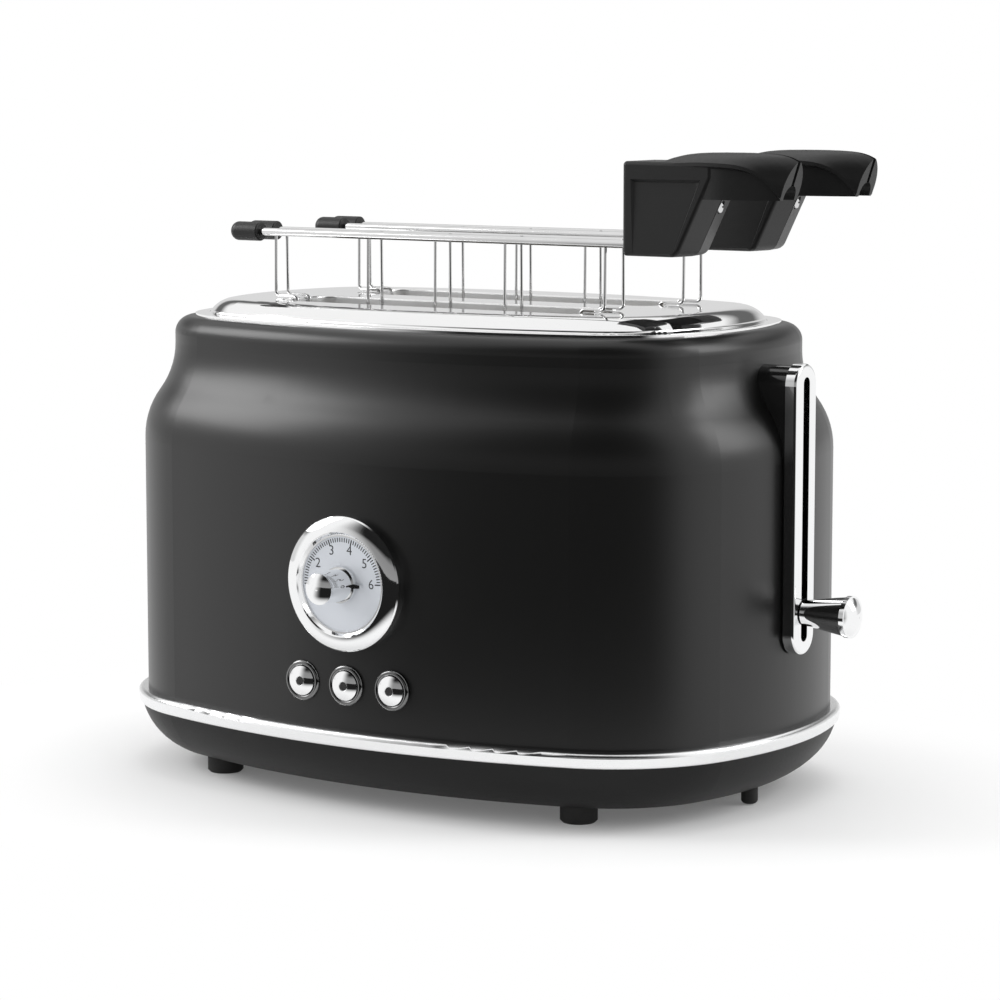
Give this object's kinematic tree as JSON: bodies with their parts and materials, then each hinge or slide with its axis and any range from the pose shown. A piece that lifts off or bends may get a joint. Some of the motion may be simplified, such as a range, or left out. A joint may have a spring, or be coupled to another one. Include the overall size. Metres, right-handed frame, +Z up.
{
  "type": "wide-slot toaster",
  "caption": "Rounded two-slot toaster with a side lever, front dial and push buttons, and a pair of lift-out wire sandwich tongs.",
  "frame": {"origin": "on the floor, under the middle of the whole outline, lever knob and dial knob included", "axes": "+X along the slots towards the lever, -Y the front with the dial, +Z up"},
  "size_m": [0.328, 0.228, 0.2622],
  "materials": {
    "black_plastic": "fine matt grain",
    "board_green": "coated board",
    "chrome": "polished",
    "dial_print": "pale printed face",
    "foot_rubber": "matt",
    "frame_steel": "plain sheet steel",
    "guide_gloss": "glossy black",
    "heater_alloy": "dull resistance ribbon",
    "mica": "pale mica board",
    "polished_plate": "polished stainless",
    "ring_gloss": "glossy dark",
    "shell_paint": "satin black paint",
    "spring_steel": "bare spring steel",
    "switch_plastic": "moulded",
    "tong_wire": "plated wire",
    "winding": "enamelled copper"
  },
  "bodies": {
    "housing": {"outer_shell": "shell_paint", "trim_band": "chrome", "base_tray": "black_plastic", "front_feet": "foot_rubber", "rear_feet": "foot_rubber", "end_pegs": "foot_rubber", "base_screws": "frame_steel", "cord_gland": "black_plastic", "top_plate": "polished_plate", "end_plates": "frame_steel", "side_reflectors": "frame_steel", "heater_boards": "mica", "heater_ribbons": "heater_alloy", "guide_rods": "frame_steel", "latch_magnet": "winding", "control_board": "board_green", "dial_potentiometer": "switch_plastic", "dial_bezel": "chrome", "dial_face": "dial_print", "button_rings": "ring_gloss", "lever_guide": "chrome", "lever_guide_block": "guide_gloss"},
    "lever": {"carriage": "frame_steel", "bread_rack_front": "frame_steel", "bread_rack_rear": "frame_steel", "lever_stem": "frame_steel", "lever_knob": "chrome", "lever_knob_cap": "chrome", "return_spring": "spring_steel"},
    "dial": {"dial_knob": "chrome", "dial_knob_cap": "chrome"},
    "crumb_drawer": {"crumb_tray": "frame_steel", "crumb_tray_pull": "black_plastic"},
    "guard_front_near": {"guard_front_near": "tong_wire"},
    "guard_front_far": {"guard_front_far": "tong_wire"},
    "guard_rear_near": {"guard_rear_near": "tong_wire"},
    "guard_rear_far": {"guard_rear_far": "tong_wire"},
    "button_defrost": {"button_defrost": "chrome"},
    "button_reheat": {"button_reheat": "chrome"},
    "button_cancel": {"button_cancel": "chrome"},
    "tong_front_hinge": {"tong_front_pivot": "frame_steel", "tong_front_spring": "spring_steel"},
    "tong_front_near_half": {"tong_front_near_handle": "black_plastic", "tong_front_near_grill": "tong_wire", "tong_front_near_cap": "black_plastic"},
    "tong_front_far_half": {"tong_front_far_handle": "black_plastic", "tong_front_far_grill": "tong_wire", "tong_front_far_cap": "black_plastic", "tong_front_screw": "chrome"},
    "tong_rear_hinge": {"tong_rear_pivot": "frame_steel", "tong_rear_spring": "spring_steel"},
    "tong_rear_near_half": {"tong_rear_near_handle": "black_plastic", "tong_rear_near_grill": "tong_wire", "tong_rear_near_cap": "black_plastic"},
    "tong_rear_far_half": {"tong_rear_far_handle": "black_plastic", "tong_rear_far_grill": "tong_wire", "tong_rear_far_cap": "black_plastic", "tong_rear_screw": "chrome"}
  },
  "joints": [
    {"name": "lever_slide", "type": "slide", "parent": "housing", "child": "lever", "axis": [0, 0, 1], "range_m": [0, 0.085], "deforming": ["return_spring"]},
    {"name": "dial_turn", "type": "hinge", "parent": "housing", "child": "dial", "pos_m": [-0.0106, -0.095, 0.0924], "axis": [0, -1, 0], "range_deg": [0, 180]},
    {"name": "crumb_tray_slide", "type": "slide", "parent": "housing", "child": "crumb_drawer", "axis": [0, 1, 0], "range_m": [0, 0.13]},
    {"name": "guard_front_near_tip", "type": "hinge", "parent": "housing", "child": "guard_front_near", "pos_m": [-0.013, -0.0315, 0.059], "axis": [1, 0, 0], "range_deg": [0, 1.5]},
    {"name": "guard_front_far_tip", "type": "hinge", "parent": "housing", "child": "guard_front_far", "pos_m": [-0.013, -0.0065, 0.059], "axis": [-1, 0, 0], "range_deg": [0, 1.5]},
    {"name": "guard_rear_near_tip", "type": "hinge", "parent": "housing", "child": "guard_rear_near", "pos_m": [-0.013, 0.0225, 0.059], "axis": [1, 0, 0], "range_deg": [0, 1.5]},
    {"name": "guard_rear_far_tip", "type": "hinge", "parent": "housing", "child": "guard_rear_far", "pos_m": [-0.013, 0.0475, 0.059], "axis": [-1, 0, 0], "range_deg": [0, 1.5]},
    {"name": "defrost_press", "type": "slide", "parent": "housing", "child": "button_defrost", "axis": [0, 1, 0], "range_m": [0, 0.002], "stiffness_N_per_m": 300},
    {"name": "reheat_press", "type": "slide", "parent": "housing", "child": "button_reheat", "axis": [0, 1, 0], "range_m": [0, 0.002], "stiffness_N_per_m": 300},
    {"name": "cancel_press", "type": "slide", "parent": "housing", "child": "button_cancel", "axis": [0, 1, 0], "range_m": [0, 0.002], "stiffness_N_per_m": 300},
    {"name": "tong_front_lift", "type": "slide", "parent": "housing", "child": "tong_front_hinge", "axis": [0, 0, 1], "range_m": [0, 0.12]},
    {"name": "tong_front_near_open", "type": "hinge", "parent": "tong_front_hinge", "child": "tong_front_near_half", "pos_m": [0.111, -0.019, 0.25], "axis": [0, 0, 1], "range_deg": [0, 1.3], "stiffness_Nm_per_rad": 2},
    {"name": "tong_front_far_open", "type": "hinge", "parent": "tong_front_hinge", "child": "tong_front_far_half", "pos_m": [0.111, -0.019, 0.25], "axis": [0, 0, -1], "range_deg": [0, 1.3], "stiffness_Nm_per_rad": 2},
    {"name": "tong_rear_lift", "type": "slide", "parent": "housing", "child": "tong_rear_hinge", "axis": [0, 0, 1], "range_m": [0, 0.12]},
    {"name": "tong_rear_near_open", "type": "hinge", "parent": "tong_rear_hinge", "child": "tong_rear_near_half", "pos_m": [0.1154, 0.035, 0.25], "axis": [0, 0, 1], "range_deg": [0, 1.3], "stiffness_Nm_per_rad": 2},
    {"name": "tong_rear_far_open", "type": "hinge", "parent": "tong_rear_hinge", "child": "tong_rear_far_half", "pos_m": [0.1154, 0.035, 0.25], "axis": [0, 0, -1], "range_deg": [0, 1.3], "stiffness_Nm_per_rad": 2}
  ],
  "couplings": [
    {"joint": "guard_front_near_tip", "follows": "lever_slide", "rad_per_m": 0.30769},
    {"joint": "guard_front_far_tip", "follows": "lever_slide", "rad_per_m": 0.30769},
    {"joint": "guard_rear_near_tip", "follows": "lever_slide", "rad_per_m": 0.30769},
    {"joint": "guard_rear_far_tip", "follows": "lever_slide", "rad_per_m": 0.30769},
    {"joint": "tong_front_far_open", "follows": "tong_front_near_open", "ratio": 1},
    {"joint": "tong_rear_far_open", "follows": "tong_rear_near_open", "ratio": 1}
  ]
}
